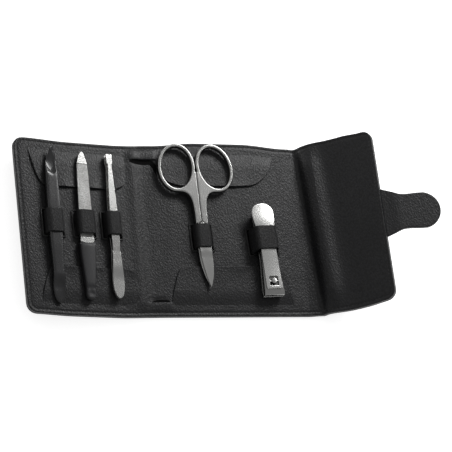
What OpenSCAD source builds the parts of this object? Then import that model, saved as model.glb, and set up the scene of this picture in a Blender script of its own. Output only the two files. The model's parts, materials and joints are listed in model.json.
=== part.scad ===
// Folding leather manicure case, shown open, with five steel tools held in leather loops.
// Origin: centre of the middle panel's outer face, on the table. +X to the flap, +Y to the
// scissors' rings, +Z up. Millimetres.

/* [Case] */
// Height of the case, along the folds
case_h = 107; // [95:1:120]
// Width of the middle panel, fold to fold
mid_w = 88.2; // [87:0.2:94]
// Width of the left spine, which sets the room inside the closed case
left_spine_w = 11; // [11:0.2:14]
// Slope of the closed left panel, which rises over the clipper
closed_tilt = 6; // [6:0.2:9]
// Width of the left panel, fold to edge
left_w = 76.8; // [74:0.5:78]
// Room between the closed left panel and the flap that covers it
cover_gap = 0.8; // [0.5:0.1:2]
// Width of the flap beyond the right spine
flap_w = 26; // [25:0.5:32]
// Radius of the case's outer corners
corner_r = 6; // [3:0.5:9]
// Free gap at each fold
fold_gap = 0.3; // [0.2:0.05:0.6]

/* [Open pose] */
// Rise of the left panel above the table
left_tilt = 6.6; // [0:0.2:20]
// Rise of the right spine above the table
spine_tilt = 34; // [30:1:50]
// Further rise of the flap from the right spine
flap_tilt = 10; // [0:1:20]
// Fall of the strap from the flap's slope
strap_fall = 32; // [10:1:36]

/* [Leather] */
// Thickness of the outer leather
outer_t = 1.2; // [0.9:0.1:1.6]
// Thickness of the stiffening board
board_t = 1; // [0.6:0.1:1.4]
// Thickness of the lining over the board
lining_t = 1; // [0.8:0.1:1.4]
// Width of the sewn rim round the board
rim_w = 4; // [3:0.5:6]
// Thickness of the four lining flaps
cover_t = 0.9; // [0.6:0.1:1]
// Thickness of the loops' leather
loop_t = 0.9; // [0.6:0.1:1.1]
// Length of each loop along its tool
loop_len = 14.4; // [10:0.5:16]
// Clearance between a tool and its loop or the leather under it
tool_gap = 0.3; // [0.2:0.05:0.6]
// Clearance round a sealed or seated piece
seat_gap = 0.05; // [0.03:0.01:0.1]

/* [Lining flaps] */
// Lower edge of the middle panel's top flap
mid_top_edge = 27.5; // [24:0.5:32]
// Upper edge of the middle panel's lower flap
mid_low_edge = -23; // [-28:0.5:-20]
// Lower edge of the left panel's top flap
left_top_edge = 23.6; // [20:0.5:30]
// Upper edge of the left panel's lower flap
left_low_edge = -25.5; // [-30:0.5:-20]
// Distance of the flaps' far corners from the panels' ends
flap_end = 12; // [10:0.5:14]
// Bare border along the top and bottom edges
flap_border = 3; // [2:0.5:5]

/* [Strap] */
// Free length of the strap beyond the flap
strap_len = 34; // [30:0.5:38]
// Width of the strap where it leaves the flap
strap_root_w = 31; // [25:0.5:34]
// Width of the strap's round end
strap_end_w = 22.5; // [18:0.5:24]
// Thickness of the strap's inner leather
strap_inner_t = 1.5; // [1.3:0.1:1.8]
// Diameter of both closure magnets
magnet_d = 9; // [6:0.5:11]
// Thickness of both closure magnets
magnet_t = 0.8; // [0.5:0.1:0.9]

/* [Scissors] */
// Distance of the scissors' axis from the left fold
scissors_d = 23.75; // [23.7:0.05:26]
// Height of the screw's centre along the case
screw_y = -4; // [-6:0.5:-2]
// Full thickness of the scissors
scissors_t = 3.2; // [2.8:0.1:3.6]
// Half width of each ring's outline
ring_a = 11.4; // [10:0.1:11.5]
// Half height of each ring's outline
ring_b = 15.3; // [13:0.1:16]
// Width of the steel round each ring
ring_wall = 2.1; // [1.6:0.1:2.6]
// Lean of each ring towards the axis
ring_lean = 7.5; // [4:0.5:8]
// Half width of the closed shanks, also of the blades
shank_half = 3.75; // [3.4:0.05:4]
// Radius of the screw's shank
screw_r = 1.2; // [1:0.1:1.4]
// Radius of the screw's head
screw_head_r = 2.2; // [2:0.1:2.6]
// Radius of the lapped joint round the screw
lap_r = 6; // [5:0.5:7]
// Running clearance of the screw and the clipper's post
run_gap = 0.06; // [0.03:0.01:0.09]
// Gap along the closed scissors' split and between the lapped faces
split_gap = 0.3; // [0.2:0.05:0.4]

/* [Nail clipper] */
// Distance of the clipper's jaws from the right fold
clipper_d = 25.5; // [23:0.1:26]
// Place of the clipper's front edge along the case
clipper_y = -43; // [-45:0.5:-41]
// Turn of the clipper in its loop
clipper_turn = 2.2; // [0:0.2:3]
// Length of the clipper's body
clipper_len = 54; // [50:0.5:56]
// Half width of the jaws
jaw_half = 6.2; // [5.8:0.1:6.4]
// Thickness of the jaws' leaves
leaf_t = 1.3; // [1:0.1:1.4]
// Thickness of the lever
lever_t = 1.3; // [1:0.1:1.4]
// Length of the lever, end to end
lever_len = 53; // [48:0.5:55]
// Distance of the post from the front edge
post_y = 8.3; // [8:0.1:10]
// Radius of the post
post_r = 1.6; // [1.4:0.1:1.8]
// Height of the lever's underside over the clipper's lowest face
lever_z = 5.8; // [5.4:0.1:6]
// Height of the post above the lever
post_proud = 0.4; // [0.2:0.1:0.6]
// Thickness of the post's foot
foot_t = 0.6; // [0.4:0.1:0.8]
// Radius of the post's foot
post_foot_r = 3.2; // [2.8:0.1:3.6]
// Radius of the cross pin that holds the lever
pin_r = 0.4; // [0.3:0.05:0.45]
// Radius of the rear rivet
rivet_r = 1.2; // [1:0.1:1.6]

/* [Left panel tools] */
// Distance of the cuticle pusher from the left fold
pusher_u = 57; // [56:0.1:59]
// Half width of the cuticle pusher
pusher_half = 3.9; // [3.4:0.1:4.2]
// Thickness of the cuticle pusher
pusher_t = 3.6; // [3:0.1:3.9]
// Distance of the nail file from the left fold
file_u = 37.9; // [37:0.1:40]
// Half width of the file's blade at its handle
file_half = 4.1; // [3.6:0.1:4.4]
// Thickness of the file's blade
file_t = 1.2; // [0.8:0.1:1.4]
// Thickness of the file's handle
handle_t = 3.4; // [3:0.1:3.8]
// Length of the tang inside the handle
tang_len = 18; // [12:0.5:24]
// Distance of the tweezers from the left fold
tweezers_u = 20.9; // [20:0.1:23]
// Half width of the tweezers at their widest
tweezers_half = 3.5; // [3:0.1:4]
// Thickness of each tweezers arm
arm_t = 0.9; // [0.7:0.1:1]
// Height of the tweezers over both arms
tweezers_h = 4; // [3.6:0.1:4.2]

/* [Hidden] */
$fn = 48;

inner_t = board_t + lining_t;
stack_t = outer_t + inner_t;
right_spine_w = left_spine_w + mid_w * tan(closed_tilt) + stack_t / cos(closed_tilt) + cover_gap;
scissors_x = -mid_w / 2 + scissors_d;
clipper_x = mid_w / 2 - clipper_d;
tool_z = cover_t + tool_gap;
half_h = case_h / 2;
eps = 0.01;

leather_dark = "#232325";
leather_mid = "#2d2e31";
steel = "#b9b8b6";

// A curve through a few points: Catmull-Rom, with n steps between neighbours.
function mix4(a, b, c, d, t) = 0.5 * (2 * b + (c - a) * t + (2 * a - 5 * b + 4 * c - d) * t * t
    + (3 * b - a - 3 * c + d) * t * t * t);
function curve(p, n = 4) = let (last = len(p) - 1)
    [for (i = [0 : last - 1], k = [0 : n - 1])
        mix4(p[max(i - 1, 0)], p[i], p[i + 1], p[min(i + 2, last)], k / n), p[last]];
function oval(a, b, n = 48) = [for (i = [0 : n - 1]) [a * cos(360 * i / n), b * sin(360 * i / n)]];

// A symmetric outline from [half width, y] pairs, smoothed.
module spindle(p, n = 4) {
    side = curve(p, n);
    polygon(concat(side, [for (i = [len(side) - 1 : -1 : 0]) [-side[i][0], side[i][1]]]));
}

// A solid with the plan of the first child and the side view (y, z) of the second.
module carved(half_w) {
    intersection() {
        linear_extrude(height = 30, center = true) children(0);
        rotate([90, 0, 90]) linear_extrude(height = 2 * half_w, center = true) children(1);
    }
}

// Places of the case's bodies. In each, z = 0 is the inner face at the fold.
module on_middle() { translate([0, 0, stack_t]) children(); }
module on_left_spine() { translate([-mid_w / 2, 0, stack_t]) mirror([1, 0, 0]) children(); }
module on_left() {
    translate([-mid_w / 2 - left_spine_w, 0, stack_t]) rotate([0, left_tilt, 0])
        mirror([1, 0, 0]) children();
}
module on_right_spine() {
    translate([mid_w / 2, 0, stack_t]) rotate([0, -spine_tilt, 0]) children();
}
module on_flap() {
    on_right_spine() translate([right_spine_w, 0, 0]) rotate([0, -flap_tilt, 0]) children();
}
module on_strap() {
    on_flap() translate([flap_w, 0, -stack_t]) rotate([0, strap_fall, 0]) children();
}

// Flat leather shapes. x runs out from the fold.
module fold_strip(w, inset = 0) {
    g = fold_gap / 2 + inset;
    translate([g, -half_h + inset]) square([w - 2 * g, case_h - 2 * inset]);
}
module end_panel(w, inset = 0) {
    g = fold_gap / 2 + inset;
    r = corner_r - inset / 2;
    hy = half_h - inset;
    translate([g, -hy]) square([w - inset - r - g, 2 * hy]);
    translate([g, -hy + r]) square([w - inset - g, 2 * (hy - r)]);
    for (s = [-1, 1]) translate([w - inset - r, s * (hy - r)]) circle(r);
}
module layer(z0, t) { translate([0, 0, z0]) linear_extrude(height = t) children(); }

// Each loop: [distance across, centre along, half width inside at the top, at the feet, height inside, turn]
loop_side = 2.9;
loop_y = 1;
clipper_loop_y = 35.5;
scissors_loop_at = [scissors_x, screw_y - 1, shank_half + tool_gap, shank_half + 3.5,
    tool_z + scissors_t + tool_gap, 0];
clipper_loop_at = [clipper_x - clipper_loop_y * sin(clipper_turn), clipper_y + clipper_loop_y * cos(clipper_turn),
    jaw_half, jaw_half + 4, tool_z + lever_z + lever_t + post_proud + tool_gap, clipper_turn];
pusher_loop_at = [pusher_u, loop_y, pusher_half + tool_gap, pusher_half + loop_side,
    tool_z + pusher_t + tool_gap, 0];
file_loop_at = [file_u, loop_y, file_half + tool_gap, file_half + loop_side,
    tool_z + handle_t + tool_gap, 0];
tweezers_loop_at = [tweezers_u, loop_y, tweezers_half + tool_gap, tweezers_half + loop_side,
    tool_z + tweezers_h + tool_gap / 2, 0];

module arch(at) {
    translate([at[0], at[1], 0]) rotate([0, 0, at[5]]) translate([0, loop_len / 2, 0])
        rotate([90, 0, 0]) linear_extrude(height = loop_len)
        difference() {
            polygon([[-at[3] - loop_t, -lining_t], [-at[3] - loop_t, 0], [-at[2] - loop_t, at[4] + loop_t],
                [at[2] + loop_t, at[4] + loop_t], [at[3] + loop_t, 0], [at[3] + loop_t, -lining_t]]);
            polygon([[-at[3], -lining_t - eps], [-at[3], 0], [-at[2], at[4]],
                [at[2], at[4]], [at[3], 0], [at[3], -lining_t - eps]]);
        }
}
// The two slits in the lining that take a loop's feet
module slits(at) {
    translate([at[0], at[1]]) rotate(at[5]) for (s = [-1, 1])
        translate([s * (at[3] + loop_t / 2), 0])
            square([loop_t + 2 * seat_gap, loop_len + 2 * seat_gap], center = true);
}

// Middle panel
module middle_plan(inset = 0) { translate([-mid_w / 2, 0]) fold_strip(mid_w, inset); }
module middle_outer_leather() {
    color(leather_dark) on_middle() layer(-stack_t, outer_t) middle_plan();
}
module middle_board() {
    color("#6b5a44") on_middle() layer(-inner_t, board_t - seat_gap) middle_plan(rim_w + seat_gap);
}
module middle_lining() {
    color(leather_mid) on_middle() difference() {
        layer(-inner_t, inner_t) middle_plan();
        layer(-inner_t - eps, board_t + eps) middle_plan(rim_w);
        layer(-lining_t - eps, lining_t + 2 * eps) {
            slits(scissors_loop_at);
            slits(clipper_loop_at);
        }
    }
}
// Lining flaps, under the tools' ends
border_y = half_h - flap_border;
module middle_top_flap() {
    e = mid_top_edge;
    r = mid_w / 2 - flap_end;
    l = -mid_w / 2 + 1;
    color(leather_mid) on_middle() layer(0, cover_t) polygon(concat(
        curve([[r, border_y], [r - 3.5, e + 12.5], [r - 10, e + 4.5], [r - 17, e + 0.9], [r - 28, e]]),
        curve([[l + 13, e], [l + 5, e + 3], [l + 0.5, e + 10.5], [l, border_y]])));
}
module middle_lower_flap() {
    e = mid_low_edge;
    r = mid_w / 2 - flap_end;
    l = -mid_w / 2 + 1;
    color(leather_mid) on_middle() layer(0, cover_t) polygon(concat(
        curve([[l, -border_y], [l, e - 21], [l + 4.6, e - 6.1], [l + 7.7, e - 0.8], [l + 12, e]]),
        curve([[r - 11, e], [r - 4.5, e - 2.5], [r - 1.5, e - 13], [r + 1.5, -border_y]])));
}

// Left spine and left panel
module left_spine_leather() {
    color(leather_dark) on_left_spine() layer(-stack_t, outer_t) fold_strip(left_spine_w);
}
module left_spine_lining() {
    color(leather_mid) on_left_spine() layer(-inner_t, inner_t) fold_strip(left_spine_w);
}
module left_outer_leather() {
    color(leather_dark) on_left() layer(-stack_t, outer_t) end_panel(left_w);
}
module left_board() {
    color("#6b5a44") on_left() difference() {
        layer(-inner_t, board_t - seat_gap) end_panel(left_w, rim_w + seat_gap);
        translate([keeper_u, 0, -inner_t - eps]) cylinder(r = magnet_d / 2 + seat_gap, h = inner_t);
    }
}
module left_lining() {
    color(leather_mid) on_left() difference() {
        layer(-inner_t, inner_t) end_panel(left_w);
        layer(-inner_t - eps, board_t + eps) end_panel(left_w, rim_w);
        layer(-lining_t - eps, lining_t + 2 * eps) {
            slits(pusher_loop_at);
            slits(file_loop_at);
            slits(tweezers_loop_at);
        }
    }
}
module left_top_flap() {
    e = left_top_edge;
    r = left_w - flap_end;
    color(leather_mid) on_left() layer(0, cover_t) polygon(concat(
        curve([[r + 5, border_y], [r + 1.2, e + 11.4], [r - 2.3, e + 2.4], [r - 6.3, e]]),
        curve([[17, e], [11.5, e + 2.6], [9, e + 7.4], [8, border_y]])));
}
module left_lower_flap() {
    e = left_low_edge;
    r = left_w - flap_end;
    color(leather_mid) on_left() layer(0, cover_t) polygon(concat(
        curve([[8, -border_y], [8, e - 6.5], [10.5, e - 1.5], [16, e]]),
        curve([[r - 7.8, e], [r - 3.3, e - 2], [r + 1.2, e - 12.5], [r + 4.5, -border_y]])));
}
// Closed, the strap's magnet lies over the keeper in the left panel.
strap_magnet_d = strap_len - strap_end_w / 2;
keeper_u = mid_w * cos(closed_tilt) + (right_spine_w - left_spine_w) * sin(closed_tilt) - flap_w
    - strap_magnet_d;
module keeper_magnet() {
    color("#8d8f92") on_left() translate([keeper_u, 0, -inner_t]) cylinder(r = magnet_d / 2, h = magnet_t);
}

// Right spine, flap and strap
module right_spine_leather() {
    color(leather_dark) on_right_spine() layer(-stack_t, outer_t) fold_strip(right_spine_w);
}
module right_spine_lining() {
    color(leather_mid) on_right_spine() layer(-inner_t, inner_t) fold_strip(right_spine_w);
}
module flap_outer_leather() {
    color(leather_dark) on_flap() layer(-stack_t, outer_t) end_panel(flap_w);
}
module flap_board() {
    color("#6b5a44") on_flap() layer(-inner_t, board_t - seat_gap) end_panel(flap_w, rim_w + seat_gap);
}
module flap_lining() {
    color(leather_mid) on_flap() difference() {
        layer(-inner_t, inner_t) end_panel(flap_w);
        layer(-inner_t - eps, board_t + eps) end_panel(flap_w, rim_w);
    }
}
module strap_plan() {
    r = strap_end_w / 2;
    neck = strap_len - strap_end_w;
    side = curve([[fold_gap, strap_root_w / 2], [neck / 2, r + 1.6], [neck, r - 0.4], [strap_len - r - 2, r - 0.2]]);
    tip = [for (a = [80 : -8 : 0]) [strap_len - r + r * cos(a), r * sin(a)]];
    half = concat(side, tip);
    polygon(concat(half, [for (i = [len(half) - 2 : -1 : 0]) [half[i][0], -half[i][1]]]));
}
module strap_outer_leather() {
    color(leather_dark) on_strap() layer(0, outer_t) strap_plan();
}
module strap_inner_leather() {
    color(leather_mid) on_strap() difference() {
        layer(outer_t, strap_inner_t) strap_plan();
        translate([strap_magnet_d, 0, outer_t - eps])
            cylinder(r = magnet_d / 2 + seat_gap, h = magnet_t + seat_gap);
    }
}
module strap_magnet() {
    color("#8d8f92") on_strap() translate([strap_magnet_d, 0, outer_t])
        cylinder(r = magnet_d / 2, h = magnet_t);
}

// Loops
module pusher_loop() { color(leather_mid) on_left() arch(pusher_loop_at); }
module file_loop() { color(leather_mid) on_left() arch(file_loop_at); }
module tweezers_loop() { color(leather_mid) on_left() arch(tweezers_loop_at); }
module scissors_loop() { color(leather_mid) on_middle() arch(scissors_loop_at); }
module clipper_loop() { color(leather_mid) on_middle() arch(clipper_loop_at); }

// Cuticle pusher: pointed scoop at the top, spoon at the bottom
module cuticle_pusher() {
    t = pusher_t;
    h = pusher_half;
    color("#2a2a2c") on_left() translate([pusher_u, 0, tool_z]) rotate([0, 0, 0.9]) carved(h) {
        spindle([[0.3, 46.4], [1.6, 44.5], [0.82 * h, 37], [0.95 * h, 28], [h, 10], [h, -12],
            [0.9 * h, -30], [0.97 * h, -38], [0.75 * h, -45], [0.3, -48.3]]);
        polygon(concat(
            curve([[-48.4, 0], [-30, 0.2], [0, 0], [30, 0.2], [46.5, 1.2]], 3),
            curve([[46.5, 1.5], [38, 1.8], [30, t - 0.3], [10, t], [-12, t], [-32, t - 0.3],
                [-40, 1.5], [-48.4, 0.5]], 3)));
    }
}

// Nail file: flat blade with a tang in a black handle
joint_y = -11.3;
module file_place() { on_left() translate([file_u, 0, tool_z]) rotate([0, 0, 1.6]) children(); }
module file_blade() {
    side = curve([[file_half, joint_y + seat_gap], [file_half, 0], [0.85 * file_half, 28],
        [0.75 * file_half, 38.5], [1.5, 43.3], [0.3, 45]]);
    half = concat([[file_half / 2, joint_y - tang_len], [file_half / 2, joint_y + seat_gap]], side);
    color(steel) file_place() translate([0, 0, (handle_t - file_t) / 2]) linear_extrude(height = file_t)
        polygon(concat(half, [for (i = [len(half) - 1 : -1 : 0]) [-half[i][0], half[i][1]]]));
}
module file_handle() {
    color("#1d1d1f") file_place() difference() {
        carved(file_half + 1) {
            spindle([[file_half + 0.6, joint_y], [file_half + 0.5, -20], [0.85 * file_half, -34],
                [0.6 * file_half, -43], [0.3, -46]]);
            polygon([[joint_y, 0.4], [joint_y, handle_t - 0.4], [joint_y - 2, handle_t], [-36, handle_t],
                [-46.2, handle_t - 1], [-46.2, 0.8], [-38, 0], [joint_y - 2, 0]]);
        }
        translate([-file_half / 2 - seat_gap, joint_y - tang_len - seat_gap, (handle_t - file_t) / 2 - seat_gap])
            cube([file_half + 2 * seat_gap, tang_len + 1, file_t + 2 * seat_gap]);
    }
}

// Tweezers: two sprung arms, welded at the rear, tips a little apart
weld_y = -34;
module tweezers_place() {
    on_left() translate([tweezers_u, 0, tool_z + tweezers_h / 2]) rotate([0, 0, 1.2]) children();
}
module tweezers_arm() {
    h = tweezers_half;
    top = tweezers_h / 2;
    carved(h) {
        spindle([[0.4, -44.6], [0.7 * h, -41.5], [h, -35.5], [0.68 * h, -18], [0.74 * h, 0], [0.62 * h, 20],
            [0.4 * h, 37], [0.5 * h, 44.6]]);
        polygon(concat(
            [[-45, 0]],
            curve([[weld_y, 0], [-24, 0.5], [0, top - arm_t], [25, top - arm_t - 0.1], [45, 0.9]], 3),
            curve([[45, 0.9 + arm_t - 0.2], [25, top - 0.1], [0, top], [-24, 0.5 + arm_t], [weld_y, arm_t],
                [-45, arm_t]], 3)));
    }
}
module tweezers_upper_arm() { color(steel) tweezers_place() tweezers_arm(); }
module tweezers_lower_arm() { color(steel) tweezers_place() mirror([0, 0, 1]) tweezers_arm(); }

// Scissors: two lapped halves on one screw. The left half carries the upper blade.
module scissors_place() { on_middle() translate([scissors_x, screw_y, tool_z]) children(); }
ring_x = ring_a + split_gap / 2 + 0.3;
ring_y = 38.2 - screw_y;
crotch_y = 22 - screw_y;
notch_y = 3.5 - screw_y;
// One ring and its shank, on the +x side of the split
module handle_plan() {
    g = split_gap / 2;
    difference() {
        union() {
            translate([ring_x, ring_y]) rotate(ring_lean) polygon(oval(ring_a, ring_b));
            polygon(concat([[g, -2], [g, ring_y - 4]], curve([[4.2, ring_y - 12], [8.5, crotch_y + 3.6],
                [6.4, crotch_y], [shank_half + 0.4, crotch_y - 6], [shank_half, notch_y], [shank_half, -2]])));
        }
        translate([ring_x, ring_y]) rotate(ring_lean) polygon(oval(ring_a - ring_wall, ring_b - ring_wall));
        translate([-20, 0]) square([20 + g, 80]);
    }
}
// One blade, on the -x side, past the screw
module blade_plan() {
    polygon(concat([[shank_half, 3], [shank_half - 0.2, -3], [1.4, -14], [0.5, -32.4]],
        curve([[0, -33], [-2.5, -25.5], [-3.7, -17], [-shank_half, -6], [-shank_half, 3]])));
}
module scissors_half(upper) {
    z_lap = upper ? scissors_t / 2 + split_gap / 4 : 0;
    lap_t = scissors_t / 2 - split_gap / 4;
    difference() {
        union() {
            difference() {
                linear_extrude(height = scissors_t) handle_plan();
                translate([0, 0, -eps]) cylinder(r = lap_r + split_gap, h = scissors_t + 2 * eps);
            }
            translate([0, 0, z_lap]) linear_extrude(height = lap_t) {
                intersection() {
                    handle_plan();
                    circle(lap_r + split_gap + 0.5);
                }
                blade_plan();
                intersection() {
                    circle(lap_r - 0.5);
                    translate([-shank_half, -lap_r]) square([2 * shank_half, 2 * lap_r]);
                }
            }
        }
        translate([0, 0, -1]) cylinder(r = screw_r + run_gap, h = scissors_t + 2);
        if (upper) translate([0, 0, scissors_t - 0.7]) cylinder(r = screw_head_r + 0.15, h = 2);
    }
}
module scissors_right_half() { color(steel) scissors_place() scissors_half(false); }
module scissors_left_half() { color(steel) scissors_place() mirror([1, 0, 0]) scissors_half(true); }
module scissors_screw() {
    color("#9a9a9a") scissors_place() {
        cylinder(r = screw_r, h = scissors_t - 0.3);
        translate([0, 0, scissors_t - 0.6]) cylinder(r = screw_head_r, h = 0.5);
    }
}

// Nail clipper: two leaves riveted at the rear, pulled together by a post and a lever
rear_y = clipper_len - 8;
lower_z = foot_t;
front_z = lever_z - 0.2 - leaf_t;
module clipper_place() {
    on_middle() translate([clipper_x, clipper_y, tool_z]) rotate([0, 0, clipper_turn]) children();
}
module leaf_plan() {
    spindle([[jaw_half, 0], [jaw_half, 2], [5.6, 11], [4.5, 24], [4.4, 40], [4.8, clipper_len - 3],
        [3, clipper_len - 0.4], [1, clipper_len]]);
}
module clipper_lower_jaw() {
    z = lower_z;
    color(steel) clipper_place() difference() {
        carved(jaw_half) {
            leaf_plan();
            polygon([[0, z + 1.7], [0.5, z + 0.4], [2.5, z], [clipper_len, z], [clipper_len, z + leaf_t],
                [3.5, z + leaf_t], [1.6, z + 1.6], [0.5, z + 2]]);
        }
        translate([0, post_y, -1]) cylinder(r = post_r + run_gap, h = 10);
        translate([0, rear_y + 3, -1]) cylinder(r = rivet_r + seat_gap, h = 10);
    }
}
module clipper_upper_jaw() {
    z = lower_z + leaf_t;
    f = front_z;
    color(steel) clipper_place() difference() {
        carved(jaw_half) {
            leaf_plan();
            polygon([[0, f - 0.9], [0.5, f + 0.6], [2.2, f + leaf_t], [16, f + leaf_t], [rear_y, z + leaf_t],
                [clipper_len, z + leaf_t], [clipper_len, z], [rear_y, z], [16, f], [3, f], [1.4, f - 0.3],
                [0.5, f - 1]]);
        }
        translate([0, post_y, -1]) cylinder(r = post_r + 5 * run_gap, h = 10);
        translate([0, rear_y + 3, -1]) cylinder(r = rivet_r + seat_gap, h = 10);
    }
}
module clipper_rivet() {
    color("#8f8f8f") clipper_place() translate([0, rear_y + 3, lower_z])
        cylinder(r = rivet_r, h = 2 * leaf_t);
}
module clipper_post() {
    color("#c9c9c9") clipper_place() translate([0, post_y, 0]) difference() {
        union() {
            cylinder(r = post_foot_r, h = foot_t - seat_gap);
            cylinder(r = post_r, h = lever_z + lever_t + post_proud);
        }
        translate([-5, 0, lever_z + lever_t / 2]) rotate([0, 90, 0]) cylinder(r = pin_r + seat_gap, h = 10);
    }
}
module clipper_pin() {
    color("#9a9a9a") clipper_place() translate([-4, post_y, lever_z + lever_t / 2])
        rotate([0, 90, 0]) cylinder(r = pin_r, h = 8);
}
module clipper_lever() {
    front = 3.8;
    end = front + lever_len;
    rise = 0.9;
    color("#d8d8d6") clipper_place() difference() {
        carved(7) {
            spindle([[3.8, front], [5.2, front + 1], [5.1, 14], [4.8, 34], [6.3, end - 8.5], [6.7, end - 5.5],
                [5.2, end - 1.8], [0.5, end]], 5);
            polygon([[front, lever_z], [30, lever_z], [end, lever_z + rise],
                [end, lever_z + rise + lever_t], [30, lever_z + lever_t], [front, lever_z + lever_t]]);
        }
        translate([-2.7, post_y - 3, 0]) cube([5.4, 6, 20]);
        translate([-4 - seat_gap, post_y, lever_z + lever_t / 2])
            rotate([0, 90, 0]) cylinder(r = pin_r + seat_gap, h = 8 + 2 * seat_gap);
    }
}

middle_outer_leather();
middle_board();
middle_lining();
middle_top_flap();
middle_lower_flap();
left_spine_leather();
left_spine_lining();
left_outer_leather();
left_board();
left_lining();
left_top_flap();
left_lower_flap();
keeper_magnet();
right_spine_leather();
right_spine_lining();
flap_outer_leather();
flap_board();
flap_lining();
strap_outer_leather();
strap_inner_leather();
strap_magnet();
pusher_loop();
file_loop();
tweezers_loop();
scissors_loop();
clipper_loop();
cuticle_pusher();
file_blade();
file_handle();
tweezers_upper_arm();
tweezers_lower_arm();
scissors_left_half();
scissors_right_half();
scissors_screw();
clipper_lower_jaw();
clipper_upper_jaw();
clipper_lever();
clipper_post();
clipper_pin();
clipper_rivet();
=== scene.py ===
import json
import math

import bmesh
import bpy
from mathutils import Matrix, Vector, geometry, noise


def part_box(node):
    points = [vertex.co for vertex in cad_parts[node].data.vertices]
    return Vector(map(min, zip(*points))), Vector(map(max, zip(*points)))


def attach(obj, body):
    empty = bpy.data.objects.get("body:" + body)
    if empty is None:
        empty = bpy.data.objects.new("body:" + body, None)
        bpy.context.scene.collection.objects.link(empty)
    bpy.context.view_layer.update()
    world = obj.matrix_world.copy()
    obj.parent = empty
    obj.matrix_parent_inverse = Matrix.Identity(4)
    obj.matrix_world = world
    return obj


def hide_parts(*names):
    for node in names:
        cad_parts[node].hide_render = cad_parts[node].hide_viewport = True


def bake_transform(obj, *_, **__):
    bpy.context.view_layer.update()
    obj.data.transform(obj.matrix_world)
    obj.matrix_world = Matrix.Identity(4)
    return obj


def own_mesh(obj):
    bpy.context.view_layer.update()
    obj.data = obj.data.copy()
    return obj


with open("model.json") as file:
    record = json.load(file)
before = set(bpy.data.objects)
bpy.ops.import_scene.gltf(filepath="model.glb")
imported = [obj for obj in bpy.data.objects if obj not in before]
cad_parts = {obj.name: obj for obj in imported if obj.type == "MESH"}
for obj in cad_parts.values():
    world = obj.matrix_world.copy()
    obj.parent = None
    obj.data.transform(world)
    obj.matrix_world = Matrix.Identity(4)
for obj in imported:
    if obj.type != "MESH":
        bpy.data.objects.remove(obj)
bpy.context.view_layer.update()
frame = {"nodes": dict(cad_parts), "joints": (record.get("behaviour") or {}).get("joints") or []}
mm = 0.001
folds = {j["name"]: Vector(j["pos_m"]) / mm for j in frame["joints"] if j["name"].endswith("_fold")}
print("frame loaded:", len(frame["nodes"]), "nodes")


# shader nodes
def nodeOf(tree, kind, **settings):
    made = tree.nodes.new(kind)
    for key, value in settings.items():
        setattr(made, key, value)
    return made


def feed(tree, value, socket):
    # a number, colour or vector is set on the socket, and another node's output is linked to it
    if isinstance(value, (int, float, tuple)):
        socket.default_value = value
    else:
        tree.links.new(value, socket)


def mathOn(tree, operation, *values):
    made = nodeOf(tree, "ShaderNodeMath", operation=operation)
    for value, socket in zip(values, made.inputs):
        feed(tree, value, socket)
    return made.outputs[0]


def mixColours(tree, share, first, second):
    made = nodeOf(tree, "ShaderNodeMix", data_type="RGBA")
    for value, socket in ((share, "Factor"), (first, 6), (second, 7)):
        feed(tree, value, made.inputs[socket])
    return made.outputs[2]


def spread(tree, value, low, high, toLow, toHigh):
    made = nodeOf(tree, "ShaderNodeMapRange")
    for title, number in (("Value", value), ("From Min", low), ("From Max", high),
                          ("To Min", toLow), ("To Max", toHigh)):
        feed(tree, number, made.inputs[title])
    return made.outputs["Result"]


def noiseOn(tree, points, scale, detail):
    made = nodeOf(tree, "ShaderNodeTexNoise")
    for title, value in (("Vector", points), ("Scale", scale), ("Detail", detail)):
        feed(tree, value, made.inputs[title])
    return made


def objectPoints(tree, scale):
    # object coordinates times a scale, so that one unit is one grain
    place = nodeOf(tree, "ShaderNodeTexCoord")
    times = nodeOf(tree, "ShaderNodeVectorMath", operation="MULTIPLY")
    tree.links.new(place.outputs["Object"], times.inputs[0])
    feed(tree, scale, times.inputs[1])
    return times.outputs[0]


def grey(level, tint=0.0):
    return (level, level, level * (1 + tint), 1)


# camera, floor, light
studio = {
    "lens": 168.46,
    "cameraPlace": (-0.4358, -0.4360, 1.0890),
    "cameraRight": (0.93825, -0.11963, 0.32463),
    "cameraUp": (-0.01006, 0.92849, 0.37122),
    "cameraBack": (-0.34582, -0.35156, 0.86995),
    "floorSize": 4.0,
    "floorTone": 0.86,
    "floorLift": 0.76,        # how much whiter the camera and shiny things see the floor
    "skyLevel": 0.42,
    "skyBand": (0.06, 0.24),  # how high the white backdrop reaches in what shiny things see
    "keyPlace": (0.28, 0.39, 0.36),
    "keySize": 0.26,
    "keyPower": 2.7,
    "fillPlace": (-0.70, 0.55, 0.75),
    "fillSize": 0.8,
    "fillPower": 0.6,
}


def areaLamp(name, place, size, power):
    data = bpy.data.lights.new(name, "AREA")
    data.shape, data.size, data.energy = "SQUARE", size, power
    lamp = bpy.data.objects.new(name, data)
    lamp.location = place
    lamp.rotation_euler = (-Vector(place)).to_track_quat("-Z", "Y").to_euler()
    bpy.context.collection.objects.link(lamp)


def makeCamera():
    data = bpy.data.cameras.new("camera")
    data.lens, data.sensor_width, data.clip_start, data.clip_end = studio["lens"], 36.0, 0.05, 20.0
    camera = bpy.data.objects.new("camera", data)
    turn = Matrix((studio["cameraRight"], studio["cameraUp"], studio["cameraBack"])).transposed()
    camera.matrix_world = Matrix.Translation(studio["cameraPlace"]) @ turn.to_4x4()
    bpy.context.collection.objects.link(camera)
    bpy.context.scene.camera = camera


def emptyTree(owner):
    owner.use_nodes = True
    owner.node_tree.nodes.clear()
    return owner.node_tree


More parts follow.
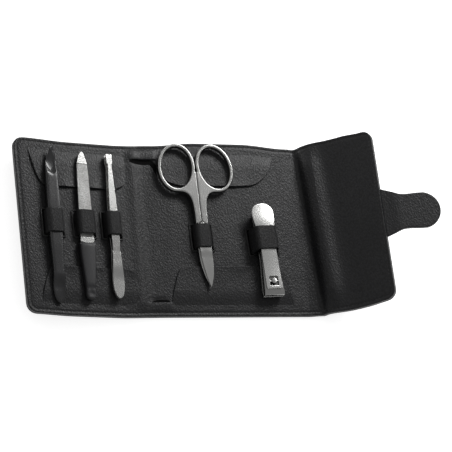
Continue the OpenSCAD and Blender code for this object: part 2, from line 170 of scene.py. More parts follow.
def makeWorld():
    # shiny things see the white backdrop round the table, below the darker ceiling
    world = bpy.data.worlds.new("studioWorld")
    bpy.context.scene.world = world
    tree = emptyTree(world)
    ray = nodeOf(tree, "ShaderNodeLightPath").outputs
    parts = nodeOf(tree, "ShaderNodeSeparateXYZ")
    tree.links.new(nodeOf(tree, "ShaderNodeTexCoord").outputs["Generated"], parts.inputs[0])
    low = spread(tree, parts.outputs["Z"], *studio["skyBand"], 1.0, 0.0)
    shiny = mathOn(tree, "MULTIPLY", ray["Is Glossy Ray"], low)
    clear = mathOn(tree, "MAXIMUM", shiny, ray["Is Transmission Ray"])
    seen = mathOn(tree, "MAXIMUM", ray["Is Camera Ray"], clear)
    back = nodeOf(tree, "ShaderNodeBackground")
    out = nodeOf(tree, "ShaderNodeOutputWorld")
    tree.links.new(spread(tree, seen, 0.0, 1.0, studio["skyLevel"], 1.0), back.inputs["Strength"])
    tree.links.new(back.outputs[0], out.inputs["Surface"])


def makeFloor():
    size = studio["floorSize"] / 2
    mesh = bpy.data.meshes.new("floor")
    mesh.from_pydata([(-size, -size, 0), (size, -size, 0), (size, size, 0), (-size, size, 0)], [], [(0, 1, 2, 3)])
    floor = bpy.data.objects.new("floor", mesh)
    floor.location.z = -0.0001  # just clear of the case
    bpy.context.collection.objects.link(floor)
    material = bpy.data.materials.new("floorPaper")
    tree = emptyTree(material)
    ray = nodeOf(tree, "ShaderNodeLightPath").outputs
    seen = mathOn(tree, "MAXIMUM", ray["Is Camera Ray"], ray["Is Glossy Ray"])
    matt = nodeOf(tree, "ShaderNodeBsdfDiffuse")
    matt.inputs["Color"].default_value = grey(studio["floorTone"])
    glow = nodeOf(tree, "ShaderNodeEmission")
    tree.links.new(mathOn(tree, "MULTIPLY", seen, studio["floorLift"]), glow.inputs["Strength"])
    both = nodeOf(tree, "ShaderNodeAddShader")
    out = nodeOf(tree, "ShaderNodeOutputMaterial")
    tree.links.new(matt.outputs[0], both.inputs[0])
    tree.links.new(glow.outputs[0], both.inputs[1])
    tree.links.new(both.outputs[0], out.inputs["Surface"])
    mesh.materials.append(material)


makeCamera()
makeWorld()
makeFloor()
areaLamp("keyLamp", studio["keyPlace"], studio["keySize"], studio["keyPower"])
areaLamp("fillLamp", studio["fillPlace"], studio["fillSize"], studio["fillPower"])
bpy.context.scene.view_settings.view_transform = "Standard"
print("camera, floor and lamps made")


# node groups, which both take two colours, a scale and two roughnesses
def newGroup(name, inputs):
    group = bpy.data.node_groups.new(name, "ShaderNodeTree")
    for title, kind, value in inputs:
        socket = group.interface.new_socket(title, in_out="INPUT", socket_type="NodeSocket" + kind)
        socket.default_value = value
    for title, kind in (("Color", "Color"), ("Roughness", "Float"), ("Height", "Float")):
        group.interface.new_socket(title, in_out="OUTPUT", socket_type="NodeSocket" + kind)
    return group, nodeOf(group, "NodeGroupInput").outputs, nodeOf(group, "NodeGroupOutput").inputs


def makeGrainGroup():
    # pebbled leather: rounded cells of uneven size with fine pores between them
    group, given, out = newGroup("leatherGrain", [
        ("Hill Color", "Color", (0.03, 0.03, 0.032, 1)), ("Valley Color", "Color", (0.012, 0.012, 0.013, 1)),
        ("Scale", "Vector", (900, 900, 900)), ("Hill Roughness", "Float", 0.45), ("Valley Roughness", "Float", 0.65)])
    points = objectPoints(group, given["Scale"])
    bend = noiseOn(group, points, 0.35, 2.0)
    shift = nodeOf(group, "ShaderNodeVectorMath", operation="MULTIPLY_ADD")
    for value, socket in zip((bend.outputs["Color"], (2.2, 2.2, 2.2), points), shift.inputs):
        feed(group, value, socket)
    cells = nodeOf(group, "ShaderNodeTexVoronoi", feature="SMOOTH_F1")
    for title, value in (("Vector", shift.outputs[0]), ("Scale", 1.0), ("Smoothness", 0.35)):
        feed(group, value, cells.inputs[title])
    pores = noiseOn(group, points, 3.2, 3.0)
    wide = noiseOn(group, points, 0.05, 2.0)
    hill = spread(group, cells.outputs["Distance"], 0.75, 0.1, 0.0, 1.0)
    tone = mathOn(group, "MULTIPLY", hill, spread(group, wide.outputs["Fac"], 0.3, 0.7, 0.55, 1.0))
    feed(group, mixColours(group, tone, given["Valley Color"], given["Hill Color"]), out["Color"])
    feed(group, spread(group, tone, 0.0, 1.0, given["Valley Roughness"], given["Hill Roughness"]), out["Roughness"])
    feed(group, mathOn(group, "MULTIPLY_ADD", pores.outputs["Fac"], 0.35, hill), out["Height"])
    return group


def makeSteelGroup():
    # fine lines from polishing, with soft clouds of handling marks
    group, given, out = newGroup("steelFinish", [
        ("Bright Color", "Color", (0.7, 0.7, 0.69, 1)), ("Dull Color", "Color", (0.5, 0.5, 0.5, 1)),
        ("Line Scale", "Vector", (4000, 300, 4000)), ("Smooth", "Float", 0.2), ("Rough", "Float", 0.4)])
    lines = noiseOn(group, objectPoints(group, given["Line Scale"]), 1.0, 4.0)
    clouds = noiseOn(group, objectPoints(group, (140.0, 140.0, 140.0)), 1.0, 3.0)
    dull = mathOn(group, "MULTIPLY_ADD", clouds.outputs["Fac"], 0.6,
                  mathOn(group, "MULTIPLY", lines.outputs["Fac"], 0.5))
    share = spread(group, dull, 0.3, 0.8, 0.0, 1.0)
    feed(group, mixColours(group, share, given["Bright Color"], given["Dull Color"]), out["Color"])
    feed(group, spread(group, share, 0.0, 1.0, given["Smooth"], given["Rough"]), out["Roughness"])
    feed(group, lines.outputs["Fac"], out["Height"])
    return group


grain = makeGrainGroup()
polish = makeSteelGroup()


def finishOf(name, group, values, bump, shader):
    # one material: the group's colour, roughness and height in a Principled shader
    material = bpy.data.materials.new(name)
    tree = emptyTree(material)
    inner = nodeOf(tree, "ShaderNodeGroup", node_tree=group)
    for socket, value in zip(inner.inputs, values):
        socket.default_value = value
    principled = nodeOf(tree, "ShaderNodeBsdfPrincipled")
    for title, value in shader.items():
        principled.inputs[title].default_value = value
    bumps = nodeOf(tree, "ShaderNodeBump")
    bumps.inputs["Strength"].default_value, bumps.inputs["Distance"].default_value = bump
    out = nodeOf(tree, "ShaderNodeOutputMaterial")
    tree.links.new(inner.outputs["Color"], principled.inputs["Base Color"])
    tree.links.new(inner.outputs["Roughness"], principled.inputs["Roughness"])
    tree.links.new(inner.outputs["Height"], bumps.inputs["Height"])
    tree.links.new(bumps.outputs["Normal"], principled.inputs["Normal"])
    tree.links.new(principled.outputs[0], out.inputs["Surface"])
    return material


leather = {"Specular IOR Level": 0.3}
steel = {"Metallic": 1.0}
finishList = {
    # finish: (material, group, (hill, valley, scale, roughness of each), bump strength and depth, shader)
    # for steel the hill is the bright colour and the valley the dull one
    "lining": ("liningLeather", grain, (grey(0.015, 0.10), grey(0.006, 0.08), (1000, 760, 1000), 0.36, 0.5),
               (0.5, 0.0002), leather),
    "outer": ("outerLeather", grain, (grey(0.014, 0.06), grey(0.006, 0.05), (1000, 1000, 1000), 0.36, 0.5),
              (0.5, 0.0002), leather),
    "cutEdge": ("leatherEdge", grain, (grey(0.030), grey(0.016), (2600, 2600, 2600), 0.42, 0.6),
                (0.3, 0.0001), leather),
    "loop": ("loopLeather", grain, (grey(0.012, 0.06), grey(0.006, 0.05), (1300, 900, 1300), 0.5, 0.7),
             (0.5, 0.0002), leather),
    # painted shade: near-black leather for sheets laid in slits and openings, standing for the shade inside them
    "inside": ("slitPaintedShade", grain, (grey(0.0025), grey(0.0015), (1500, 1500, 1500), 0.85, 0.9),
               (0.1, 0.0001), {"Specular IOR Level": 0.1}),
    "thread": ("blackThread", grain, (grey(0.030), grey(0.012), (3500, 3500, 3500), 0.38, 0.6),
               (0.4, 0.0001), leather),
    "board": ("fibreBoard", grain, ((0.30, 0.22, 0.14, 1), (0.2, 0.14, 0.09, 1), (2000, 400, 2000), 0.8, 0.9),
              (0.3, 0.0001), leather),
    "satin": ("satinSteel", polish, (grey(0.42, -0.02), grey(0.34, -0.02), (900, 900, 5000), 0.19, 0.27),
              (0.10, 0.00003), steel),
    "polished": ("polishedSteel", polish, (grey(0.60, -0.02), grey(0.50, -0.02), (5000, 300, 5000), 0.20, 0.28),
                 (0.04, 0.00002), steel),
    "plain": ("plainSteel", polish, (grey(0.50, -0.02), grey(0.42, -0.02), (900, 900, 5000), 0.20, 0.27),
              (0.05, 0.00002), steel),
    "dark": ("blackSteel", polish, (grey(0.022, 0.06), grey(0.014, 0.06), (3500, 500, 3500), 0.22, 0.28),
             (0.05, 0.00002), {"Metallic": 0.15, "Specular IOR Level": 0.55}),
    "grit": ("gritFacedSteel", grain, (grey(0.56, -0.02), grey(0.20, -0.02), (3200, 3200, 3200), 0.35, 0.6),
             (0.6, 0.00012), {"Metallic": 0.85}),
    "handle": ("handlePlastic", grain, (grey(0.022, 0.08), grey(0.017, 0.08), (5000, 5000, 5000), 0.42, 0.5),
               (0.08, 0.00005), leather),
    "magnet": ("nickelPlate", polish, (grey(0.6), grey(0.45), (3000, 3000, 3000), 0.25, 0.4),
               (0.05, 0.00002), steel),
}
finishes = {title: finishOf(*values) for title, values in finishList.items()}
recordSlots = {"lining": "lining_leather", "loop": "loop_leather"}  # the other leather is outer_leather
print("materials made:", len(finishes))

# the case's shape
caseShape = {
    "cornerRadius": 6.0,
    "leftWidth": 76.8,
    "thickness": 3.2,
    "liningDepth": 2.0,      # where the lining meets the outer leather, below the inner face
    "leftTilt": 6.6,
    "leftBend": 8.0,         # how far each bend spreads along the leather
    "rightBend": 8.0,
    "flapBend": 18.0,
    "rim": 0.5,
    "wave": 0.22,            # soft waves of the unboarded leather
    # (height, distance beyond the right fold, spread): the leather first stays down, then bulges
    "rightFoldBulges": ((-1.9, 3.2, 2.5), (3.6, 11.4, 6.2)),
    "rightFoldSkew": -0.035,
    # the ridge beside the left fold: height, distance from the fold, skew, and spread to the left and right
    "ridge": (0.8, -4.2, 0.03, 4.0, 3.1),
    # how far the long edges stray from straight: (distance, from, to)
    "topDrift": ((2.3, -46, 40), (-1.1, -125, -45), (1.0, 48, 88)),
    "bottomDrift": ((-0.9, -130, -50), (-0.8, 45, 92)),
    # the lining's doubled strips across the left spine: (far end, edge along y, side, height, pit beside it)
    "strips": ((-59.7, 44.3, 1, 0.8, 0.9), (-56.4, -45.0, -1, 0.48, 0.63)),
    "stripEnd": -42.4,
    "stripStop": 53.0,       # where the strips have run into the case's turned edge
}
# distances from a real edge of a sheet to the grid's lines, close together where the edge is round
edgeSteps = (0, 0.12, 0.3, 0.55, 0.9, 1.3, 1.65, 2.0, 2.35, 2.7, 3.3, 4.2, 6.0)
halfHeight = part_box("middle_outer_leather")[1].y / mm
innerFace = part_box("middle_lining")[1].z / mm
sMid = folds["left_spine_fold"].x
sLeft = folds["left_panel_fold"].x
sRight = folds["right_spine_fold"].x
sFlap = sRight + (folds["flap_fold"] - folds["right_spine_fold"]).length
rise = folds["flap_fold"] - folds["right_spine_fold"]
spineTilt = math.degrees(math.atan2(rise.z, rise.x))
across = folds["strap_fold"] - folds["flap_fold"]  # the strap's fold lies on the flap's outer face
flapWidth = math.sqrt(across.length ** 2 - caseShape["thickness"] ** 2)
flapTilt = math.degrees(math.atan2(across.z, across.x) + math.asin(caseShape["thickness"] / across.length))
sStart, sEnd = sLeft - caseShape["leftWidth"], sFlap + flapWidth


def ease(value):
    # 0 up to 0, 1 from 1 on, and smooth between
    value = max(0.0, min(1.0, value))
    return value * value * (3 - 2 * value)


def slopeAt(s):
    # the leather's slope in radians at a distance s along it from the middle panel's centre
    left = -caseShape["leftTilt"] * (1 - ease((s - sLeft) / caseShape["leftBend"] + 0.5))
    right = spineTilt * ease((s - sRight) / caseShape["rightBend"] + 0.5)
    flap = (flapTilt - spineTilt) * ease((s - sFlap) / caseShape["flapBend"] + 0.5)
    return math.radians(left + right + flap)


profileStep = 0.25


def makeProfile():
    # x and z of the leather's inner face at every step along it
    line = {0: (0.0, innerFace)}
    for way, last in ((1, int(sEnd / profileStep) + 8), (-1, int(-sStart / profileStep) + 8)):
        x, z = 0.0, innerFace
        for i in range(last):
            slope = slopeAt(way * (i + 0.5) * profileStep)
            x += way * math.cos(slope) * profileStep
            z += way * math.sin(slope) * profileStep
            line[way * (i + 1)] = (x, z)
    return line


profile = makeProfile()


def bump(s, low, high):
    # 1 between low and high, fading out over the outer thirds
    part = (s - low) / (high - low)
    return ease(part * 3) * ease((1 - part) * 3)


def spun(x, y, angle):
    return x * math.cos(angle) - y * math.sin(angle), x * math.sin(angle) + y * math.cos(angle)


def edgeDrift(s, y):
    # the soft leather's top and bottom edges aren't quite straight
    drift = sum(far * bump(s, low, high) for far, low, high in caseShape["topDrift" if y > 0 else "bottomDrift"])
    return drift * ease((abs(y) - 20) / (halfHeight - 20))


def onCase(s, y, h):
    # the place of a point at distance s along the leather and h above its inner face
    free = 0.35 + 0.65 * ease((halfHeight - abs(y)) / 16)
    for height, beyond, wide in caseShape["rightFoldBulges"]:
        away = s - sRight - beyond - caseShape["rightFoldSkew"] * y
        h += (height if height < 0 else height * free) * math.exp(-(away / wide) ** 2)
    y += edgeDrift(s, y)
    k = math.floor(s / profileStep)
    t = s / profileStep - k
    (x0, z0), (x1, z1) = profile[k], profile[k + 1]
    slope = slopeAt(s)
    return Vector((x0 + (x1 - x0) * t - math.sin(slope) * h, y,
                   z0 + (z1 - z0) * t + math.cos(slope) * h)) * mm


def waves(s, y):
    rolling = noise.noise(Vector((s / 22, y / 30, 1.7))) + 0.5 * noise.noise(Vector((s / 9, y / 13, 5.1)))
    return caseShape["wave"] * rolling


def gridLines(low, high, softLow, softHigh, step):
    first = [low + d for d in edgeSteps] if softLow else [low]
    last = [high - d for d in reversed(edgeSteps)] if softHigh else [high]
    count = max(1, round((last[0] - first[-1]) / step))
    gap = (last[0] - first[-1]) / count
    return first + [first[-1] + gap * (i + 1) for i in range(count - 1)] + last


def newPiece(name, verts, faces, marks, materials, sharp=()):
    mesh = bpy.data.meshes.new(name)
    mesh.from_pydata(verts, [], faces)
    for material in materials:
        mesh.materials.append(finishes[material])
    mesh.polygons.foreach_set("material_index", marks)
    mesh.polygons.foreach_set("use_smooth", [True] * len(faces))
    if sharp:
        wanted = {tuple(sorted(pair)) for pair in sharp}
        for edge in mesh.edges:
            if tuple(sorted(edge.vertices)) in wanted:
                edge.use_edge_sharp = True
    mesh.update()
    piece = bpy.data.objects.new(name, mesh)
    bpy.context.collection.objects.link(piece)
    recordSlots.get(materials[0], "outer_leather")
    return piece


def slab(name, sRange, yRange, soft, depth, rim, spot, materials, corner=0.0, step=1.5, top=None, below=None,
         seam=None, extra=((), ())):
    # leather of even thickness on a grid
    # soft tells which of its sides are real edges: s low, s high, y low, y high
    sLines = gridLines(*sRange, soft[0], soft[1], step) + [v for v in extra[0] if sRange[0] < v < sRange[1]]
    yLines = gridLines(*yRange, soft[2], soft[3], step) + list(extra[1])
    sLines, yLines = sorted(sLines), sorted(yLines)
    far = 1e9

    def plan(s, y, inset):
        # a grid point moved onto the rounded corners, and its distance from the nearest real edge
        sWay = -1 if soft[0] and (not soft[1] or s - sRange[0] < sRange[1] - s) else 1
        yWay = -1 if y - yRange[0] < yRange[1] - y else 1
        sEdge = sRange[0] if sWay < 0 else sRange[1]
        yEdge = yRange[0] if yWay < 0 else yRange[1]
        a = max(abs(s - sEdge), inset) if soft[0 if sWay < 0 else 1] else far
        b = max(abs(y - yEdge), inset) if soft[2 if yWay < 0 else 3] else far
        edge = min(a, b)
        if a < corner and b < corner:
            p, q = corner - a, corner - b
            radius = max(p, q)
            angle = math.pi / 4 * q / p if p >= q and p else math.pi / 2 - math.pi / 4 * p / q if q else 0
            a, b = corner - radius * math.cos(angle), corner - radius * math.sin(angle)
        return (s if a == far else sEdge - sWay * a), (y if b == far else yEdge - yWay * b), edge

    def roundOff(edge):
        return 0.0 if edge >= rim else rim - math.sqrt(rim * rim - (rim - edge) ** 2)

    # the upper and lower grids, then rings of points down the border between them
    verts = []
    for under in (False, True):
        for s in sLines:
            for y in yLines:
                sp, yp, edge = plan(s, y, 0.0)
                if under:
                    h = -depth + roundOff(edge) + (below(sp, yp, edge) if below else 0.0)
                else:
                    h = -roundOff(edge) + (top(sp, yp, edge) if top else 0.0)
                verts.append(spot(sp, yp, h))
    rows, columns = len(sLines), len(yLines)
    border = ([(i, 0) for i in range(rows)] + [(rows - 1, j) for j in range(1, columns)]
              + [(i, columns - 1) for i in range(rows - 2, -1, -1)] + [(0, j) for j in range(columns - 2, 0, -1)])
    levels = [(-rim - 0.02, 0.0)]
    if seam:  # a fine groove where the lining meets the outer leather
        levels += [(-seam + 0.22, 0.0), (-seam, 0.16), (-seam - 0.22, 0.0)]
    levels += [(-depth + rim + 0.02, 0.0)]
    rings = [[i * columns + j for i, j in border]]
    for h, inset in levels:
        ring = []
        for i, j in border:
            sp, yp, edge = plan(sLines[i], yLines[j], inset)
            ring.append(len(verts))
            verts.append(spot(sp, yp, h))
        rings.append(ring)
    rings.append([rows * columns + i * columns + j for i, j in border])
    faces, marks = [], []
    for i in range(rows - 1):
        for j in range(columns - 1):
            a = i * columns + j
            faces.append((a, a + columns, a + columns + 1, a + 1))
            marks.append(0)
            a += rows * columns
            faces.append((a, a + 1, a + columns + 1, a + columns))
            marks.append(1)
    count = len(border)
    for level, (upper, lower) in enumerate(zip(rings, rings[1:])):
        mark = 2 if len(materials) > 2 else (0 if level < len(rings) / 2 else 1)
        for k in range(count):
            n = (k + 1) % count
            faces.append((upper[k], lower[k], lower[n], upper[n]))
            marks.append(mark)
    sharp = []
    for k, (i, j) in enumerate(border):
        n = (k + 1) % count
        beside = border[n][0]
        # where one skin runs on into the next, the joint's edges are hard
        if (i == beside == 0 and not soft[0]) or (i == beside == rows - 1 and not soft[1]):
            sharp += [(rings[0][k], rings[0][n]), (rings[-1][k], rings[-1][n])]
        for hard, atCorner in ((soft[0], i == 0 and j in (0, columns - 1)),
                               (soft[1], i == rows - 1 and j in (0, columns - 1))):
            if not hard and atCorner:
                sharp += [(upper[k], lower[k]) for upper, lower in zip(rings, rings[1:])]
    return newPiece(name, verts, faces, marks, materials, sharp)


def stripRelief(s, y):
    # each strip across the spine is raised, and its free edge leaves a pit beside it
    rise = 0.0
    for farEnd, edgeY, side, height, pit in caseShape["strips"]:
        past = side * (y - edgeY)
        over = ease(past / 0.5 + 0.5) * ease((caseShape["stripStop"] - abs(y)) / 6)
        along = ease((s - farEnd + 3) / 6) * ease((caseShape["stripEnd"] - s) / 0.6)
        rise += height * over * along - pit * math.exp(-(past + 1.1) ** 2) * bump(s, farEnd - 1, sMid)
    return rise


def stitchGroove(edge):
    return math.exp(-((edge - stitching["inset"]) / stitching["grooveWidth"]) ** 2)


def caseRelief(s, y, edge):
    # waves, the ridge beside the left fold, and the groove that the edge stitching pulls in
    height, place, skew, toLeft, toRight = caseShape["ridge"]
    away = s - sLeft - place - skew * y
    ridge = height * math.exp(-(away / (toRight if away > 0 else toLeft)) ** 2) * ease(edge / farFromEdge)
    return (waves(s, y) * ease((edge - 2.5) / 5) - stitching["innerGroove"] * stitchGroove(edge) + ridge
            + stripRelief(s, y) * ease((edge - 2.5) / 0.8))


def caseUnder(s, y, edge):
    # the outer face only has the stitching's groove, and soft waves that never go down
    return stitching["outerGroove"] * stitchGroove(edge) + max(0.0, waves(s, y)) * ease((edge - 3) / 5)


farFromEdge = 9.0            # the case's edge has no part in the relief from here on
stitching = {
    "inset": 2.1, "length": 1.75, "gap": 0.65, "width": 0.46, "proud": 0.16, "sides": 6, "rings": 5,
    "innerGroove": 0.22, "outerGroove": 0.25, "grooveWidth": 0.55,
}
skins = {
    # name: (from, to, first body, second body, fold, reach of the bend either side, nodes that it stands for)
    "leftSkin": (sStart, (sLeft + sMid) / 2, "left_panel", "left_spine", sLeft, 5.0,
                 ("left_outer_leather", "left_lining")),
    "midLeftSkin": ((sLeft + sMid) / 2, 0.0, "left_spine", "middle_panel", sMid, 5.0,
                    ("left_spine_leather", "left_spine_lining", "middle_outer_leather")),
    "midRightSkin": (0.0, (sRight + sFlap) / 2, "middle_panel", "right_spine", sRight, 7.0,
                     ("middle_lining", "right_spine_leather")),
    "rightSkin": ((sRight + sFlap) / 2, sEnd, "right_spine", "flap", sFlap, 8.0,
                  ("right_spine_lining", "flap_outer_leather", "flap_lining")),
}


def bendOver(piece, skin):
    first, second, foldAt, reach = skins[skin][2:6]
    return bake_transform(piece, first, second, start=onCase(foldAt - reach, 0, 0), end=onCase(foldAt + reach, 0, 0))


def stitchRow(name, path, spot, height):
    # short threads along a path of (s, y) points, each lying on the leather
    half, sides, rings = stitching["length"] / 2, stitching["sides"], stitching["rings"]
    pitch = stitching["length"] + stitching["gap"]
    verts, faces = [], []
    spans = [(Vector(a), Vector(b)) for a, b in zip(path, path[1:])]
    total = sum((b - a).length for a, b in spans)
    count = int(total / pitch)
    walked, index = 0.0, 0
    for number in range(count):
        wanted = (number + 0.5) * total / count
        while walked + (spans[index][1] - spans[index][0]).length < wanted:
            walked += (spans[index][1] - spans[index][0]).length
            index += 1
        a, b = spans[index]
        way = (b - a).normalized()
        middle = a + way * (wanted - walked)
        up = (spot(middle.x, middle.y, height + 1) - spot(middle.x, middle.y, height)).normalized()
        along = (spot(*(middle + way * half), height) - spot(*(middle - way * half), height)) / 2
        centre = (spot(*(middle + way * half), height) + spot(*(middle - way * half), height)) / 2
        side = along.cross(up).normalized()
        base = len(verts)
        for r in range(rings):
            t = -1 + 2 * r / (rings - 1)
            swell = max(0.25, math.sqrt(max(0.0, 1 - abs(t) ** 3)))
            for k in range(sides):
                angle = 2 * math.pi * k / sides
                verts.append(centre + along * t
                             + side * (math.cos(angle) * swell * stitching["width"] / 2 * mm)
                             + up * ((math.sin(angle) * swell - 0.35 * abs(t)) * stitching["proud"] * mm))
        for r in range(rings - 1):
            for k in range(sides):
                n = (k + 1) % sides
                faces.append((base + r * sides + k, base + r * sides + n,
                              base + (r + 1) * sides + n, base + (r + 1) * sides + k))
        faces.append(tuple(base + k for k in reversed(range(sides))))
        faces.append(tuple(base + (rings - 1) * sides + k for k in range(sides)))
    return newPiece(name, verts, faces, [0] * len(faces), ["thread"])


def edgePath(sFrom, sTo, roundStart, roundEnd):
    # one skin's stitch lines: along its top and bottom, or one line round its end
    line = halfHeight - stitching["inset"]
    if not roundStart and not roundEnd:
        return [[(sFrom, line), (sTo, line)], [(sTo, -line), (sFrom, -line)]]
    radius = caseShape["cornerRadius"] - stitching["inset"]
    end, cutEnd, way = (sFrom, sTo, 1) if roundStart else (sTo, sFrom, -1)
    centre = end + way * (stitching["inset"] + radius)
    arc = [i * math.pi / 16 for i in range(9)]
    corner = [(centre - way * radius * math.sin(a), line - radius + radius * math.cos(a)) for a in arc]
    return [[(cutEnd, line)] + corner + [(s, -y) for s, y in reversed(corner)] + [(cutEnd, -line)]]


def finePath(points, step=1.0):
    out = [points[0]]
    for a, b in zip(points, points[1:]):
        count = max(1, int((Vector(b) - Vector(a)).length / step))
        out += [tuple(Vector(a).lerp(Vector(b), (i + 1) / count)) for i in range(count)]
    return out


def onStitchLine(s, y, h):
    edge = stitching["inset"]
    return onCase(s, y, h + (caseRelief(s, y, edge) if h > -1 else caseUnder(s, y, edge)))


def makeCase():
    # extra lines of the grid, close together at the strips' ends and edges
    near = (-0.4, -0.2, 0.0, 0.2, 0.4)
    stripLines = ([strip[0] + 0.3 + d for strip in caseShape["strips"] for d in near],
                  [strip[1] + d for strip in caseShape["strips"] for d in near])
    for name, (sFrom, sTo, _, _, _, _, nodes) in skins.items():
        isStart, isEnd = name == "leftSkin", name == "rightSkin"
        skin = slab(name, (sFrom, sTo), (-halfHeight, halfHeight), (isStart, isEnd, True, True),
                    caseShape["thickness"], caseShape["rim"], onCase, ["lining", "outer"],
                    corner=caseShape["cornerRadius"], step=1.4, top=caseRelief, below=caseUnder,
                    seam=caseShape["liningDepth"], extra=stripLines)
        bendOver(skin, name)
        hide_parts(*nodes)
        for face, height in (("Inner", 0.0), ("Outer", -caseShape["thickness"])):
            for number, path in enumerate(edgePath(sFrom, sTo, isStart, isEnd)):
                row = stitchRow(f"{name}{face}Stitches{number}", finePath(path), onStitchLine, height)
                bendOver(row, name)


makeCase()
print("case made")


# sheets cut to an outline
def smoothCurve(points, steps=6):
    out = []
    for i in range(len(points) - 1):
        a, b = points[max(i - 1, 0)], points[i]
        c, d = points[i + 1], points[min(i + 2, len(points) - 1)]
        for k in range(steps):
            t = k / steps
            out.append(tuple(0.5 * (2 * b[m] + (c[m] - a[m]) * t + (2 * a[m] - 5 * b[m] + 4 * c[m] - d[m]) * t * t
                                    + (3 * b[m] - a[m] - 3 * c[m] + d[m]) * t ** 3) for m in (0, 1)))
    return out + [tuple(points[-1])]


def insideOf(point, ring):
    hit = False
    for (x0, y0), (x1, y1) in zip(ring, ring[1:] + ring[:1]):
        if (y0 > point[1]) != (y1 > point[1]) and point[0] < (x1 - x0) * (point[1] - y0) / (y1 - y0) + x0:
            hit = not hit
    return hit


def cutSheet(name, outline, depth, rim, spot, materials, step=2.2, top=None, holes=(), spacing=1.2):
    # a sheet with a rounded edge along any outline and round its holes, and a fine net of points inside
    offsets = [0.0, 0.12 * rim, 0.35 * rim, 0.7 * rim, 1.1 * rim, 2.2 * rim]
    # rings of points inward from the outline and outward from each hole
    flats = []
    for which, path in enumerate([outline] + list(holes)):
        points = [Vector(p) for p in path]
        area = sum(a.x * b.y - b.x * a.y for a, b in zip(points, points[1:] + points[:1]))
        if (area < 0) == (which == 0):
            points.reverse()
        fine = []
        for a, b in zip(points, points[1:] + points[:1]):
            count = max(1, round((b - a).length / spacing))
            fine += [a.lerp(b, i / count) for i in range(count)]
        inward = []
        for k in range(len(fine)):
            way = (fine[(k + 1) % len(fine)] - fine[k - 1]).normalized()
            inward.append(Vector((-way.y, way.x)))
        flats.append([[f + n * d for f, n in zip(fine, inward)] for d in offsets + [2.2 * rim + 0.45 * step]])
    # the points of the net keep clear of the innermost rings
    guards = [[tuple(p) for p in flat[-1]] for flat in flats]
    borders = [[tuple(p) for p in flat[-2]] for flat in flats]
    inner = []
    xs, ys = [p[0] for p in borders[0]], [p[1] for p in borders[0]]
    for i in range(int((max(xs) - min(xs)) / step) + 1):
        for j in range(int((max(ys) - min(ys)) / step) + 1):
            p = (min(xs) + i * step + 0.31, min(ys) + j * step + 0.27)
            if insideOf(p, guards[0]) and not any(insideOf(p, g) for g in guards[1:]):
                inner.append(Vector(p))
    starts = [sum(len(b) for b in borders[:k]) for k in range(len(borders))]
    net = geometry.delaunay_2d_cdt([Vector(p) for b in borders for p in b] + inner, [],
                                   [tuple(range(at, at + len(b))) for at, b in zip(starts, borders)], 1, 1e-5)
    netPoints = net[0]
    middle = [sum((netPoints[k] for k in face), Vector((0, 0))) / len(face) for face in net[2]]
    netFaces = [face for face, m in zip(net[2], middle) if not any(insideOf(m, b) for b in borders[1:])]
    verts, faces, marks = [], [], []
    last = len(materials) - 1

    def height(p, d, under):
        # rounded over at the rim, and never thinner than a trace
        away = 0.0 if d >= rim else rim - math.sqrt(rim * rim - (rim - d) ** 2)
        high = top(p[0], p[1], False) if top else 0.0
        low = -depth + (top(p[0], p[1], True) if top else 0.0)
        half = (high + low) / 2
        return min(low + away, half - 0.04) if under else max(high - away, half + 0.04)

    # both faces, and then the wall that joins their rims
    rims = {}
    for under in (False, True):
        circles = []
        for flat in flats:
            circles.append([])
            for d, ring in zip(offsets[:-1], flat):
                circles[-1].append([len(verts) + k for k in range(len(ring))])
                verts += [spot(p.x, p.y, height(p, d, under)) for p in ring]
        base = len(verts)
        verts += [spot(p[0], p[1], height(p, rim, under)) for p in netPoints]
        for face in netFaces:
            faces.append(tuple(base + k for k in (reversed(face) if under else face)))
            marks.append(min(1, last) if under else 0)
        for rings, at in zip(circles, starts):
            rings.append([base + at + k for k in range(len(rings[0]))])
            for outerRing, innerRing in zip(rings, rings[1:]):
                for k in range(len(outerRing)):
                    n = (k + 1) % len(outerRing)
                    quad = (outerRing[k], outerRing[n], innerRing[n], innerRing[k])
                    faces.append(tuple(reversed(quad)) if under else quad)
                    marks.append(min(1, last) if under else 0)
        rims[under] = [rings[0] for rings in circles]
    for upper, lower in zip(rims[False], rims[True]):
        for k in range(len(upper)):
            n = (k + 1) % len(upper)
            faces.append((upper[k], lower[k], lower[n], upper[n]))
            marks.append(last)
    return newPiece(name, verts, faces, marks, materials)


# where the tools lie: distance from the left fold or place on the middle panel, and their turn in degrees
leftTools = {"pusher": (57.0, 0.9), "file": (37.9, 1.6), "tweezers": (20.9, 1.2)}
scissorsPlace = -20.35
clipperTurn = 2.2
toolHeight = 1.2             # of the tools' lower faces over the lining

liningFlaps = {
    "thickness": 0.9,
    "border": 0.5,
    "edgeLift": 0.26,        # how far the free edges stand off the lining under the tools
    "openLift": 1.0,         # and how much more beside them
    "heldDown": ((sLeft - leftTools["pusher"][0], 9), (sLeft - leftTools["file"][0], 8),
                 (sLeft - leftTools["tweezers"][0], 8), (scissorsPlace, 27), (17.2, 12)),
    "fade": (38.0, 52.6),    # where the flaps run into the case's turned edge
    "middleTopEdge": 27.5, "middleLowEdge": -23.0,
    "leftTopEdge": 23.6, "leftLowEdge": -25.5,
    "farCorner": 12.0,
}


